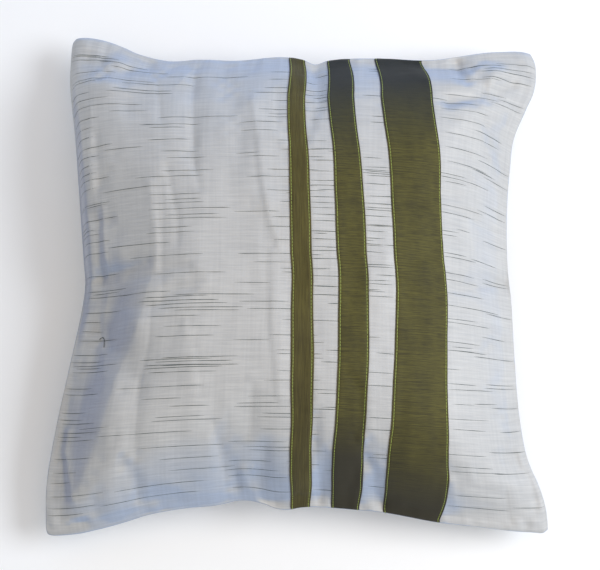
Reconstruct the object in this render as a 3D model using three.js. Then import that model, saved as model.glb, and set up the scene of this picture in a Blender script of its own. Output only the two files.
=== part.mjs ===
// A square cushion cover, filled with its pad and lying on its back on a table.
// A front and a back panel are sewn face to face round all four sides and turned out, so the seam
// is a thin lip, the corners are flat ears, and the pad draws the sides in between them.
// Three dark bands are sewn over the front panel from the foot seam to the head seam.
// Millimetres. +Z is up, out of the front panel, +Y is the head and +X the right side.
// The origin is on the table, in the middle of the outline.
import * as THREE from "three";

// Driving dimensions
const HALF_SIDE = 175;         // from the middle to a side where it is drawn in
const SEAM_RISE = 17;          // how much higher a seam lies halfway along than at its corners
const SEAM_RISE_POWER = 2.5;
const LIP_HALF_THICKNESS = 3.5;
const LIP_ROUNDING = 3;
const PAD_REACH = 0.962;       // the pad's edge, as a share of the way from the middle to a seam
const PAD_SOFTNESS = 0.1;      // rounds the meeting of the pad's two halves in the middle
const PAD_CORNERING = 2;       // a lower power leaves the ears emptier
const SWELL_RUN = 0.29;        // the share of that way in which the pad gains most of its swell
const SWELL_POWER = 1.3;
const FRONT_SWELL = 56;
const FRONT_CROWN = 14;
const BACK_SWELL = 60;
const TABLE_SHARE = 0.56;      // the back lies on the table over this share of the way to a seam
const TABLE_ROUNDING = 8;      // and sags towards it over this height, above and below it
const TABLE_SLOPE = 0.1;      // the least slope at which it leaves the table
const BACK_BOW = 22;           // how far the back's grid lines bow inwards beside its seams
const BACK_EASE = 0.2;         // share of the way across in which they leave the front's lines
const FOLD_FADE = 12;          // folds die out over this distance from a seam
const TIP_SPREAD = 1.2;        // reach of a blunt ear's rounding, as a share of its bluntness
const BAND_GAP = 0.3;
const BAND_THICKNESS = 1.2;
const ROWS = 44;
const LINES_NEAR_SEAM = [3, 6.5, 11, 17];

const GROUND_COLOUR = 0xc6c9ce;
const CLOTH_ROUGHNESS = 0.55;

// Turns short rows of values into records with named columns.
function table(columns, values) {
  return values.map((row) => Object.fromEntries(columns.map((name, i) => [name, row[i]])));
}

// Corners of the outline: plan place, seam height over the table, and how blunt the ear's tip is.
const CORNERS = table(["name", "x", "y", "height", "bluntness"], [
  ["footLeft", -193.5, -201, 30, 7],
  ["footRight", 194.5, -199, 29, 5],
  ["headLeft", -182, 197.5, 35, 8],
  ["headRight", 191.5, 187, 32, 13],
]);

// How far each side is drawn in from the straight line between its two corners.
const FOOT_SIDE = table(["along", "inward"], [
  [0, 0], [0.06, 1], [0.1, 4], [0.16, 10], [0.2, 15], [0.28, 20.5], [0.34, 22.5], [0.395, 26.5],
  [0.43, 24], [0.47, 19], [0.52, 21], [0.62, 18.5], [0.67, 16.5], [0.78, 8.5], [0.84, 6],
  [0.93, 1.5], [1, 0],
]);
const HEAD_SIDE = table(["along", "inward"], [
  [0, 0], [0.05, 1], [0.1, 6.5], [0.15, 15], [0.22, 21], [0.28, 19.5], [0.36, 20], [0.46, 16],
  [0.5, 17.5], [0.528, 21.5], [0.555, 18], [0.66, 14.5], [0.78, 13.5], [0.85, 8], [0.9, 4],
  [1, 0],
]);
const LEFT_SIDE = table(["along", "inward"], [
  [0, 0], [0.09, -1], [0.2, 5], [0.32, 14], [0.45, 23], [0.49, 24], [0.53, 22], [0.65, 16],
  [0.78, 9], [0.9, 1], [1, 0],
]);
const RIGHT_SIDE = table(["along", "inward"], [
  [0, 0], [0.05, 1], [0.1, 7], [0.14, 14], [0.22, 20.5], [0.35, 24.5], [0.48, 26.5], [0.52, 28],
  [0.65, 27], [0.74, 23], [0.8, 19], [0.87, 7], [0.91, 0], [0.95, -2], [1, 0],
]);

// Edges of the bands at rows from the foot to the head, as shares of the way from the left seam
// to the right one.
const BAND_EDGES = table(
  ["along", "narrowLeft", "narrowRight", "mediumLeft", "mediumRight", "wideLeft", "wideRight"],
  [
    [0.0, 0.487, 0.525, 0.567, 0.621, 0.669, 0.779],
    [0.07, 0.491, 0.533, 0.572, 0.633, 0.677, 0.8],
    [0.17, 0.505, 0.549, 0.593, 0.655, 0.705, 0.824],
    [0.29, 0.5, 0.549, 0.598, 0.663, 0.715, 0.83],
    [0.46, 0.487, 0.535, 0.59, 0.657, 0.717, 0.833],
    [0.62, 0.492, 0.539, 0.592, 0.658, 0.718, 0.83],
    [0.78, 0.489, 0.531, 0.582, 0.64, 0.701, 0.816],
    [0.9, 0.473, 0.509, 0.555, 0.61, 0.664, 0.772],
    [1.0, 0.471, 0.505, 0.553, 0.601, 0.653, 0.754],
  ],
);

// Strips of the front panel from the left seam to the right one: the grid cells across each, its
// rough width, and the colour of those that a band covers.
const STRIPS = table(["name", "end", "cells", "width", "colour"], [
  ["ground_left", "narrowLeft", 21, 190, null],
  ["band_narrow", "narrowRight", 2, 18, 0x575237],
  ["gap_narrow", "mediumLeft", 2, 21, null],
  ["band_medium", "mediumRight", 3, 25, 0x565339],
  ["gap_medium", "wideLeft", 2, 23, null],
  ["band_wide", "wideRight", 4, 44, 0x5e5b3e],
  ["ground_right", "seam", 9, 65, null],
]);

// Main folds of the front panel: a run from one plan place to another, the reach of its flanks,
// and its lift, which is below zero for a trough and above zero for a ridge.
const FOLDS = table(["x1", "y1", "x2", "y2", "reach", "lift"], [
  [-170, -4, -112, -4, 9, -5],       // where the empty cover was kept folded, left half
  [168, -6, 116, -14, 9, -3.5],      // and right half
  [-150, -24, -132, -70, 16, -5],    // slack plane under the left half of that fold
  [-109, -4, -120, -48, 11, 3],      // shoulder above the slack plane
  [-120, -48, -140, -118, 12, 3.5],
  [-118, -62, -124, -150, 7, -2.5],
  [-81, 174, -78, 88, 7, -4],        // pressed crease down from the head seam
  [-34, 128, -23, 46, 9, 2.5],       // long ridge left of the narrow band
  [-23, 46, -19, -70, 9, 1.8],
  [-106, 80, -102, -24, 8, 2.2],
  [-78, -30, -72, -104, 9, 2.4],
  [-67, -98, -49, -164, 8, -3],
  [-25, -138, -11, -178, 8, -6],     // pucker beside the foot of the narrow band
  [14, -138, 21, -172, 7, -3.5],     // and between the bands
  [51, -138, 64, -172, 8, -4.5],
  [127, 178, 141, 154, 8, -3.5],     // gathers at the head's right ear
  [108, 124, 168, 152, 12, -3.5],
  [-168, 176, -118, 150, 12, -3],    // at its left ear
  [118, -164, 168, -180, 10, -2.5],  // and at the foot's right ear
]);

// A smooth line through one column of a table.
function lineThrough(rows, column) {
  const places = rows.map((row) => row.along);
  const values = rows.map((row) => row[column]);
  const line = new THREE.CubicInterpolant(places, values, 1);
  return (along) => line.evaluate(along)[0];
}

// One side of the outline, as a function that gives a plan point for a share of the way along.
// The side is drawn in to the left of its run or, where turn is -1, to the right.
function sideBetween(start, end, turn, rows) {
  const from = new THREE.Vector2(start.x, start.y);
  const run = new THREE.Vector2(end.x, end.y).sub(from);
  const inward = new THREE.Vector2(-run.y, run.x).normalize().multiplyScalar(turn);
  const drawnIn = lineThrough(rows, "inward");
  return (along) => from.clone().addScaledVector(run, along).addScaledVector(inward, drawnIn(along));
}

const [footLeft, footRight, headLeft, headRight] = CORNERS;
const footSide = sideBetween(footLeft, footRight, 1, FOOT_SIDE);
const headSide = sideBetween(headLeft, headRight, -1, HEAD_SIDE);
const leftSide = sideBetween(footLeft, headLeft, -1, LEFT_SIDE);
const rightSide = sideBetween(footRight, headRight, 1, RIGHT_SIDE);

// How much each corner, in the order of the table, counts at a point of a panel.
function cornerShares(u, v) {
  return [(1 - u) * (1 - v), u * (1 - v), (1 - u) * v, u * v];
}

// How far a point in the tip of an ear is drawn back to make the tip blunt.
function tipPull(u, v) {
  const pull = new THREE.Vector2();
  const ways = [u + v, 1 - u + v, u + 1 - v, 2 - u - v];
  CORNERS.forEach((corner, i) => {
    const away = ways[i] * 2 * HALF_SIDE;
    const nearness = Math.max(0, 1 - away / (TIP_SPREAD * corner.bluntness));
    const depth = (Math.SQRT2 - 1) * corner.bluntness * nearness * nearness;
    const outward = new THREE.Vector2(corner.x, corner.y).normalize();
    pull.addScaledVector(outward, -depth);
  });
  return pull;
}

// The plan place of a point of a panel: u runs from the left seam to the right one, and v from
// the foot seam to the head seam. The four sides are blended into one patch.
function planPoint(u, v) {
  const point = tipPull(u, v);
  point.addScaledVector(footSide(u), 1 - v);
  point.addScaledVector(headSide(u), v);
  point.addScaledVector(leftSide(v), 1 - u);
  point.addScaledVector(rightSide(v), u);
  cornerShares(u, v).forEach((share, i) => {
    point.x -= share * CORNERS[i].x;
    point.y -= share * CORNERS[i].y;
  });
  return point;
}

// How far the back's grid has left the front's, from 0 at a seam to 1 where it lies on the table.
function backEase(share) {
  return THREE.MathUtils.smoothstep(Math.min(share, 1 - share), 0, BACK_EASE);
}

// The plan place of a point of the back panel, which lies evenly on the table. Towards the seams
// it takes on the front's unevenness, since the two panels are sewn together there.
function backPoint(u, v) {
  const even = new THREE.Vector2();
  cornerShares(u, v).forEach((share, i) => {
    even.x += share * CORNERS[i].x;
    even.y += share * CORNERS[i].y;
  });
  even.x += BACK_BOW * (1 - 2 * u) * 4 * v * (1 - v);
  even.y += BACK_BOW * (1 - 2 * v) * 4 * u * (1 - u);
  return planPoint(u, v).lerp(even, backEase(u) * backEase(v));
}

// Height at which the two panels meet, carried on across the whole panel.
function seamHeight(u, v) {
  const cornerness = Math.abs((2 * u - 1) * (2 * v - 1)) ** SEAM_RISE_POWER;
  const shares = cornerShares(u, v);
  return shares.reduce((sum, share, i) => sum + share * CORNERS[i].height, SEAM_RISE * (1 - cornerness));
}

function distanceFromSeam(u, v) {
  return 2 * HALF_SIDE * Math.min(u, 1 - u, v, 1 - v);
}

function lipHeight(u, v) {
  return LIP_HALF_THICKNESS * (1 - Math.exp(-distanceFromSeam(u, v) / LIP_ROUNDING));
}

// How far inside the pad's edges a share of the way across or along lies: 0 at an edge and nearly
// 1 in the middle.
function insidePad(share) {
  return Math.max(0, 1 - Math.hypot(2 * share - 1, PAD_SOFTNESS) / PAD_REACH);
}

// The same for a point of the pad, whose shoulders stand square along the seams and grow rounder
// towards the middle.
function padDepth(u, v) {
  const across = insidePad(u);
  const along = insidePad(v);
  if (across === 0 || along === 0) return 0;
  return (2 / (across ** -PAD_CORNERING + along ** -PAD_CORNERING)) ** (1 / PAD_CORNERING);
}

// The pad's swell, from 0 at its edge to nearly 1 in the middle.
function padSwell(u, v) {
  return 1 - Math.exp(-((padDepth(u, v) / SWELL_RUN) ** SWELL_POWER));
}

function foldLift(place) {
  let lift = 0;
  for (const fold of FOLDS) {
    const run = new THREE.Line3(
      new THREE.Vector3(fold.x1, fold.y1, 0),
      new THREE.Vector3(fold.x2, fold.y2, 0),
    );
    const point = new THREE.Vector3(place.x, place.y, 0);
    const nearest = run.closestPointToPoint(point, true, new THREE.Vector3());
    lift += fold.lift * Math.exp(-((nearest.distanceTo(point) / fold.reach) ** 2));
  }
  return lift;
}

function frontHeight(u, v) {
  const crown = FRONT_CROWN * (1 - (2 * u - 1) ** 2) * (1 - (2 * v - 1) ** 2);
  const folds = foldLift(planPoint(u, v)) * Math.min(1, distanceFromSeam(u, v) / FOLD_FADE);
  return seamHeight(u, v) + lipHeight(u, v) + FRONT_SWELL * padSwell(u, v) + crown + folds;
}

// The back lies flat on the table over a square in its middle, and sags towards the table all
// round that square.
function backHeight(u, v) {
  const offTable = Math.max(Math.abs(2 * u - 1), Math.abs(2 * v - 1)) - TABLE_SHARE;
  if (offTable < 0) return 0;
  const free = seamHeight(u, v) - lipHeight(u, v) - BACK_SWELL * padSwell(u, v);
  if (free > TABLE_ROUNDING) return free;
  const sag = Math.max(0, free + TABLE_ROUNDING) ** 2 / (4 * TABLE_ROUNDING);
  return Math.max(sag, TABLE_SLOPE * HALF_SIDE * offTable);
}

// Shares of a run for its grid lines: even, but crowded towards an end that is a seam, where the
// lip and the shoulder bend most.
function gridShares(run, cells, seamAtStart, seamAtEnd) {
  const near = LINES_NEAR_SEAM.map((distance) => distance / run);
  const first = seamAtStart ? [0, ...near] : [0];
  const last = seamAtEnd ? [...near.map((share) => 1 - share).reverse(), 1] : [1];
  const evenCells = cells - first.length - last.length + 2;
  const start = first.at(-1);
  const step = (last[0] - start) / evenCells;
  const between = Array.from({ length: evenCells - 1 }, (_, i) => start + step * (i + 1));
  return [...first, ...between, ...last];
}

// The places across the panel of all grid lines on the row at v.
const bandEdge = Object.fromEntries(
  Object.keys(BAND_EDGES[0]).map((name) => [name, lineThrough(BAND_EDGES, name)]),
);

function acrossShares(v) {
  const places = [0];
  STRIPS.forEach((strip, i) => {
    const isLast = i === STRIPS.length - 1;
    const start = places.at(-1);
    const end = isLast ? 1 : bandEdge[strip.end](v);
    const shares = gridShares(strip.width, strip.cells, i === 0, isLast);
    for (const share of shares.slice(1)) {
      places.push(start + (end - start) * share);
    }
  });
  return places;
}

const rowShares = gridShares(2 * HALF_SIDE, ROWS, true, true);
const middleShares = acrossShares(0.5);
const grid = rowShares.map((v) => acrossShares(v).map((u) => ({ u, v })));
const COLUMNS = grid[0].length - 1;

// A mesh's vertices and faces while it is being put together.
class Shell {
  constructor() {
    this.positions = [];
    this.faces = [];
  }

  addPoint(x, y, z) {
    this.positions.push(x, y, z);
    return this.positions.length / 3 - 1;
  }

  addQuad(a, b, c, d) {
    this.faces.push(a, b, c, a, c, d);
  }

  toGeometry() {
    const geometry = new THREE.BufferGeometry();
    geometry.setAttribute("position", new THREE.Float32BufferAttribute(this.positions, 3));
    geometry.setIndex(this.faces);
    geometry.computeVertexNormals();
    return geometry;
  }
}

// The cushion's closed shell: a front and a back grid that share the vertices of the seam.
function cushionGeometry() {
  const shell = new Shell();
  const onSeam = (row, column) => row === 0 || row === ROWS || column === 0 || column === COLUMNS;
  const front = grid.map((line, row) => line.map(({ u, v }, column) => {
    const place = planPoint(u, v);
    return shell.addPoint(place.x, place.y, onSeam(row, column) ? seamHeight(u, v) : frontHeight(u, v));
  }));
  const back = grid.map((line, row) => line.map(({ u, v }, column) => {
    if (onSeam(row, column)) return front[row][column];
    const across = THREE.MathUtils.lerp(u, middleShares[column], backEase(v));
    const place = backPoint(across, v);
    return shell.addPoint(place.x, place.y, backHeight(across, v));
  }));
  for (let row = 0; row < ROWS; row += 1) {
    for (let column = 0; column < COLUMNS; column += 1) {
      const next = column + 1;
      const above = row + 1;
      shell.addQuad(front[row][column], front[row][next], front[above][next], front[above][column]);
      shell.addQuad(back[row][column], back[above][column], back[above][next], back[row][next]);
    }
  }
  return { geometry: shell.toGeometry(), front };
}

// A band's closed shell: its strip of the front grid, raised off the panel by a hair and then by
// the cloth's thickness. It ends one grid line short of the seams.
function bandGeometry(cushion, front, firstColumn, cells) {
  const shell = new Shell();
  const place = new THREE.Vector3();
  const out = new THREE.Vector3();
  const sheetAt = (height) => front.slice(1, -1).map((line) => (
    line.slice(firstColumn, firstColumn + cells + 1).map((vertex) => {
      place.fromBufferAttribute(cushion.getAttribute("position"), vertex);
      out.fromBufferAttribute(cushion.getAttribute("normal"), vertex);
      place.addScaledVector(out, height);
      return shell.addPoint(place.x, place.y, place.z);
    })
  ));
  const under = sheetAt(BAND_GAP);
  const over = sheetAt(BAND_GAP + BAND_THICKNESS);
  const last = under.length - 1;
  for (let row = 0; row < last; row += 1) {
    for (let column = 0; column < cells; column += 1) {
      const next = column + 1;
      shell.addQuad(over[row][column], over[row][next], over[row + 1][next], over[row + 1][column]);
      shell.addQuad(under[row][column], under[row + 1][column], under[row + 1][next], under[row][next]);
    }
    shell.addQuad(under[row][0], over[row][0], over[row + 1][0], under[row + 1][0]);
    shell.addQuad(over[row][cells], under[row][cells], under[row + 1][cells], over[row + 1][cells]);
  }
  for (let column = 0; column < cells; column += 1) {
    const next = column + 1;
    shell.addQuad(under[0][column], under[0][next], over[0][next], over[0][column]);
    shell.addQuad(over[last][column], over[last][next], under[last][next], under[last][column]);
  }
  return shell.toGeometry();
}

function clothMesh(name, geometry, colour) {
  const material = new THREE.MeshStandardMaterial({
    color: colour,
    roughness: CLOTH_ROUGHNESS,
    metalness: 0,
  });
  const mesh = new THREE.Mesh(geometry, material);
  mesh.name = name;
  return mesh;
}

// The patch is put in the middle of its own outline, so that the origin lies under it.
const cover = new THREE.Group();
const { geometry: cushion, front } = cushionGeometry();
cushion.computeBoundingBox();
const middle = cushion.boundingBox.getCenter(new THREE.Vector3());
cover.position.set(-middle.x, -middle.y, 0);
cover.add(clothMesh("cushion_cover", cushion, GROUND_COLOUR));
let firstColumn = 0;
for (const strip of STRIPS) {
  if (strip.colour !== null) {
    const band = bandGeometry(cushion, front, firstColumn, strip.cells);
    cover.add(clothMesh(strip.name, band, strip.colour));
  }
  firstColumn += strip.cells;
}

export default cover;
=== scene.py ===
# %% [markdown]
# # A striped cushion cover on its pad
#
# The real thing is two panels of silvery cloth, sewn together round their edges and turned out,
# with three dark bands topstitched over the front. A pad fills it, so the cloth is drawn in along
# the sides, stands out as flat ears at the corners, and creases where it was once kept folded.
#
# The frame holds the same cushion as a coarse model, and this script dresses it. It makes the
# cloth surface first, and lays everything else on that surface: bands, stitches and slub yarns.

import math

import bmesh
import bpy
import numpy as np
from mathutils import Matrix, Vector, noise
from mathutils.bvhtree import BVHTree


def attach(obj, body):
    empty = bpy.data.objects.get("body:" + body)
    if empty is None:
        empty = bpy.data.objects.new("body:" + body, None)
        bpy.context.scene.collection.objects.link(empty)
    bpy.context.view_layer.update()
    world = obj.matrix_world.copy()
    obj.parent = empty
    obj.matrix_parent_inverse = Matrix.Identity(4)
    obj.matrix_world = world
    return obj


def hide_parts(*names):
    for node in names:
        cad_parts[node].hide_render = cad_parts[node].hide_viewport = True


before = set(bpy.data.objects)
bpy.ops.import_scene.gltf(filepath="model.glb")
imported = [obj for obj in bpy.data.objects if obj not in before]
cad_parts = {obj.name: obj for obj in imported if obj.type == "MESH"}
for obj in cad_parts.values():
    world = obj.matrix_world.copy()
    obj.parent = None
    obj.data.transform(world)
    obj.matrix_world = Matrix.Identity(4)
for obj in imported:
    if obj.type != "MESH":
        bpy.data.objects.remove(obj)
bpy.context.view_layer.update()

MM = 0.001
rng = np.random.default_rng(7)

# %% [markdown]
# ## Camera, light and floor
#
# The picture was taken from above the foot of the cushion, leaning a little towards its head, so
# the camera looks down at that angle. One large soft lamp from above the right side is the key
# light. In the picture every steep slope looks cool and every level place looks neutral. So the
# sky all round is a little bluish, a very broad lamp overhead adds the warmth that the sky lacks,
# and one weak blue lamp stands beyond the head. The floor is pale.

# %% Place the camera
PICTURE_WIDTH = 600
CAMERA_AIM = Vector((2.5, -5.6, 50)) * MM
CAMERA_DISTANCE = 1.1
CAMERA_LEAN = math.radians(8.5)
PIXELS_PER_MM = 1.2814
SENSOR_WIDTH = 36
NEAREST_SEEN = 0.05


def make_object(name, data):
    """A new object in the scene."""
    made = bpy.data.objects.new(name, data)
    bpy.context.scene.collection.objects.link(made)
    return made


camera = make_object("camera", bpy.data.cameras.new("camera"))
camera_back = Vector((0, -math.sin(CAMERA_LEAN), math.cos(CAMERA_LEAN)))
camera.location = CAMERA_AIM + camera_back * CAMERA_DISTANCE
camera.rotation_euler = (CAMERA_LEAN, 0, 0)
camera.data.sensor_width = SENSOR_WIDTH
camera.data.lens = PIXELS_PER_MM / MM * CAMERA_DISTANCE * SENSOR_WIDTH / PICTURE_WIDTH
camera.data.clip_start = NEAREST_SEEN
bpy.context.scene.camera = camera
print("camera lens in mm:", round(camera.data.lens, 1))

# %% Light the studio
SKY_COLOUR = (0.71, 0.81, 0.93)
SKY_STRENGTH = 0.68
LAMPS = [
    # name, place in metres, side in metres, watts, colour
    ("key", (1.3, 0.0, 1.3), 1.0, 23.5, (0.90, 0.94, 1.0)),
    ("warm_sky_overhead", (0.0, 0.0, 2.0), 2.4, 10.0, (1.0, 0.57, 0.07)),
    ("blue_sky_at_head", (-0.2, 1.7, 0.6), 0.8, 5.0, (0.20, 0.46, 1.0)),
]

bpy.context.scene.view_settings.view_transform = "Standard"
world = bpy.data.worlds.new("sky")
world.use_nodes = True
sky = world.node_tree.nodes["Background"]
sky.inputs["Color"].default_value = (*SKY_COLOUR, 1)
sky.inputs["Strength"].default_value = SKY_STRENGTH
bpy.context.scene.world = world

for name, place, side, watts, colour in LAMPS:
    lamp = make_object(name, bpy.data.lights.new(name, "AREA"))
    lamp.data.shape = "DISK"
    lamp.data.size = side
    lamp.data.energy = watts
    lamp.data.color = colour
    lamp.location = place
    lamp.rotation_euler = (-Vector(place)).to_track_quat("-Z", "Y").to_euler()

# %% Lay the floor
FLOOR_SIDE = 8
FLOOR_COLOUR = (0.92, 0.92, 0.92)
FLOOR_ROUGHNESS = 0.9


def plain_finish(name, colour, roughness):
    """A material and its shader, ready for more nodes."""
    finish = bpy.data.materials.new(name)
    finish.use_nodes = True
    shader = finish.node_tree.nodes["Principled BSDF"]
    shader.inputs["Base Color"].default_value = (*colour, 1)
    shader.inputs["Roughness"].default_value = roughness
    return finish, shader


floor_mesh = bpy.data.meshes.new("floor")
half = FLOOR_SIDE / 2
corners = [(-half, -half, 0), (half, -half, 0), (half, half, 0), (-half, half, 0)]
floor_mesh.from_pydata(corners, [], [(0, 1, 2, 3)])
floor_mesh.materials.append(plain_finish("pale_floor", FLOOR_COLOUR, FLOOR_ROUGHNESS)[0])
floor = make_object("floor", floor_mesh)

# %% [markdown]
# ## Read the cushion's form from the frame
#
# Each panel is a height over the plan: the front looks up everywhere and the back looks down. So
# the seam is found in the coarse model, with no list of points: its points belong to a face that
# looks up and to one that looks down, and they are put in order round the middle. Its four
# corners are the points that reach furthest along the diagonals, and they cut it into four sides.

# %% Merge the coarse model's loose triangles
JOINED_WITHIN = 1e-6


def merged(node_name):
    """The node's vertices in millimetres and its triangles, with shared vertices joined."""
    work = bmesh.new()
    work.from_mesh(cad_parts[node_name].data)
    bmesh.ops.remove_doubles(work, verts=work.verts, dist=JOINED_WITHIN)
    places = np.array([v.co[:] for v in work.verts]) / MM
    triangles = np.array([[v.index for v in f.verts] for f in work.faces])
    work.free()
    return places, triangles


form_places, form_triangles = merged("cushion_cover")
tips = form_places[form_triangles]
form_up = np.cross(tips[:, 1] - tips[:, 0], tips[:, 2] - tips[:, 0])[:, 2] > 0
print("coarse cushion:", len(form_places), "vertices,", len(form_triangles), "triangles")

# %% Follow the seam
on_both = np.intersect1d(form_triangles[form_up], form_triangles[~form_up])
seam = form_places[on_both]
seam = seam[np.argsort(np.arctan2(seam[:, 1], seam[:, 0]))]
print("seam points:", len(seam))

# %% Cut the seam into four sides
def corner_at(x_sign, y_sign):
    return int(np.argmax(seam[:, 0] * x_sign + seam[:, 1] * y_sign))


def smooth_line(at, values):
    """A smooth curve through the values, which can be read at any array of places."""
    rise = np.gradient(values, at, axis=0)

    def read(where):
        i = np.clip(np.searchsorted(at, where) - 1, 0, len(at) - 2)
        step = (at[i + 1] - at[i])[..., None]
        t = np.clip((where - at[i])[..., None] / step, 0, 1)
        return (
            (2 * t**3 - 3 * t**2 + 1) * values[i]
            + (t**3 - 2 * t**2 + t) * step * rise[i]
            + (3 * t**2 - 2 * t**3) * values[i + 1]
            + (t**3 - t**2) * step * rise[i + 1]
        )

    return read


def side_between(first, last, way=1):
    """The seam's points from one corner to the next, anticlockwise or, with way -1, the other
    way, as a smooth curve of x, y and z. It is read by the share of the straight line between."""
    count = (last - first) * way % len(seam)
    points = seam[(first + way * np.arange(count + 1)) % len(seam)]
    run = points[-1, :2] - points[0, :2]
    along = (points[:, :2] - points[0, :2]) @ run / (run @ run)
    order = np.argsort(along)
    return smooth_line(along[order], points[order])


foot_left, foot_right = corner_at(-1, -1), corner_at(1, -1)
head_left, head_right = corner_at(-1, 1), corner_at(1, 1)
foot_side = side_between(foot_left, foot_right)
head_side = side_between(head_left, head_right, -1)
left_side = side_between(foot_left, head_left, -1)
right_side = side_between(foot_right, head_right)
print("corners in mm:", seam[[foot_left, foot_right, head_left, head_right]].round(1).tolist())

# %% [markdown]
# ## One patch for both panels
#
# A place on a panel is given by two shares: u runs from the left seam to the right one and v from
# the foot to the head, the way the warp and weft run in the cloth. The four sides are blended into
# one patch that starts from the straight lines between the corners. The bow of each side dies out
# inwards and the small waves of its seam do so sooner, because the pad pulls the threads straight
# there: the slubs show that the weft is level again a few centimetres in. Sewing and filling also
# dragged the ends of the weft along the side seams, as the slubs show: a short table says how far.
# Heights come from rays cast at the coarse model, and are smoothed, as its facets are large.

# %% Take the straight line and the broad curve of a side
BROAD_SAMPLES = 60


def chord(side):
    """The straight line from one corner of the side to the other."""
    start, end = side(np.array([0.0, 1.0]))
    return lambda share: start + (end - start) * share[..., None]


def broad(side):
    """The side's broad curve, without the small waves of its seam."""
    at = np.linspace(0, 1, BROAD_SAMPLES)
    straight = chord(side)
    bends = at * (1 - at) * np.array([np.ones_like(at), at, at**2])
    weights = np.linalg.lstsq(bends.T, side(at) - straight(at), rcond=None)[0]

    def read(share):
        t = share[..., None]
        return straight(share) + t * (1 - t) * (weights[0] + weights[1] * t + weights[2] * t**2)

    return read


# %% Blend the four sides
CLOTH_WIDTH = 400
CLOTH_LENGTH = 410
WAVE_REACH = 30
SLIDE_REACH = 40
END_BOW_REACH = 75
SIDE_BOW_REACH = 130
LEFT_SLIDE = [
    # share of the seam from foot to head, mm that the weft's end is slid towards the head
    (0, 0), (0.1, 2), (0.25, 5), (0.4, 3), (0.5, 0), (0.65, -7), (0.8, -11), (0.92, -9), (1, 0),
]
RIGHT_SLIDE = [
    (0, 0), (0.12, 3), (0.25, 3), (0.4, -2), (0.5, -4), (0.6, -7), (0.75, -11), (0.9, -9), (1, 0),
]
TIP_REACH = 9
TIPS = [
    # u and v of a corner, mm that its tip stands out beyond the coarse model, to the side and up
    (0, 0, -1.2, -0.8),
    (1, 0, 1.0, -0.8),
    (0, 1, -0.5, 1.0),
    (1, 1, 2.0, 2.0),
]


def table_curve(rows):
    """A smooth curve through a table of two columns."""
    at, values = np.array(rows, float).T
    read = smooth_line(at, values[:, None])
    return lambda share: read(share)[..., 0]


SIDES = [(s, broad(s), chord(s)) for s in (foot_side, head_side, left_side, right_side)]
BOW_REACHES = (END_BOW_REACH, END_BOW_REACH, SIDE_BOW_REACH, SIDE_BOW_REACH)
slide_left, slide_right = table_curve(LEFT_SLIDE), table_curve(RIGHT_SLIDE)


def patch(u, v):
    """x, y and seam height in mm for arrays of shares u and v."""
    u, v = np.asarray(u, float), np.asarray(v, float)
    b = v[..., None]
    foot_line, head_line = SIDES[0][2], SIDES[1][2]
    point = (1 - b) * foot_line(u) + b * head_line(u)
    ways = [
        (u, u, v * CLOTH_LENGTH),
        (u, u, (1 - v) * CLOTH_LENGTH),
        (v, v + slide_left(v) / CLOTH_LENGTH, u * CLOTH_WIDTH),
        (v, v + slide_right(v) / CLOTH_LENGTH, (1 - u) * CLOTH_WIDTH),
    ]
    for (side, curve, line), (share, slid, inward), reach in zip(SIDES, ways, BOW_REACHES):
        point += (side(slid) - curve(slid)) * np.exp(-inward / WAVE_REACH)[..., None]
        point += (curve(slid) - curve(share)) * np.exp(-inward / SLIDE_REACH)[..., None]
        point += (curve(share) - line(share)) * np.exp(-inward / reach)[..., None]
    for tip_u, tip_v, sideways, up in TIPS:
        away = np.hypot((u - tip_u) * CLOTH_WIDTH, (v - tip_v) * CLOTH_LENGTH)
        nearness = np.exp(-away / TIP_REACH)
        point[..., 0] += sideways * nearness
        point[..., 1] += up * nearness
    return point


# %% Space the lines of the fine grid
SEAM_LINES = [0.0, 0.5, 1.2, 2.1, 3.2, 4.5, 6.0, 7.6, 9.3]
GRID_CELLS = 210


def seam_crowded(length):
    """Shares of the way across for the grid lines."""
    near = np.array(SEAM_LINES) / length
    between = np.linspace(near[-1], 1 - near[-1], GRID_CELLS + 3 - 2 * len(near))
    return np.concatenate([near[:-1], between, 1 - near[:-1][::-1]])


def ramp(distance, reach):
    """0 at no distance, which rises evenly to 1 at the reach and stays there."""
    return np.clip(distance / reach, 0, 1)


u_lines = seam_crowded(CLOTH_WIDTH)
v_lines = seam_crowded(CLOTH_LENGTH)
U, V = np.meshgrid(u_lines, v_lines)
plan = patch(U, V)
seam_ways = [
    # mm along the foot, head, left and right seam, and mm inward from it
    (U * CLOTH_WIDTH, V * CLOTH_LENGTH),
    (U * CLOTH_WIDTH, (1 - V) * CLOTH_LENGTH),
    (V * CLOTH_LENGTH, U * CLOTH_WIDTH),
    (V * CLOTH_LENGTH, (1 - U) * CLOTH_WIDTH),
]
seam_distance = np.min([inward for _, inward in seam_ways], axis=0)
cell = round(float(np.diff(u_lines).max() * CLOTH_WIDTH), 2)
print("fine grid:", U.shape, "cells of about", cell, "mm")

# %% Read the heights of the two panels
form_tree = BVHTree.FromPolygons([Vector(p) for p in form_places], form_triangles.tolist())
SKY_HIGH = 400
SMOOTHING_PASSES = 8


def heights(from_z, direction):
    """Height at which a ray from above or below meets the coarse model, over the fine grid."""
    found = plan[..., 2].copy()
    rows, columns = found.shape
    for row in range(1, rows - 1):
        for column in range(1, columns - 1):
            x, y, seam_z = plan[row, column]
            hit = form_tree.ray_cast(Vector((x, y, from_z)), direction)[0]
            found[row, column] = seam_z if hit is None else hit.z
    return found


def smoothed(field, passes):
    """The field blended with its neighbours, its edge left as it is."""
    for _ in range(passes):
        inner = field.copy()
        inner[:, 1:-1] = (field[:, :-2] + 2 * field[:, 1:-1] + field[:, 2:]) / 4
        field = inner.copy()
        field[1:-1] = (inner[:-2] + 2 * inner[1:-1] + inner[2:]) / 4
    return field


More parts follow.
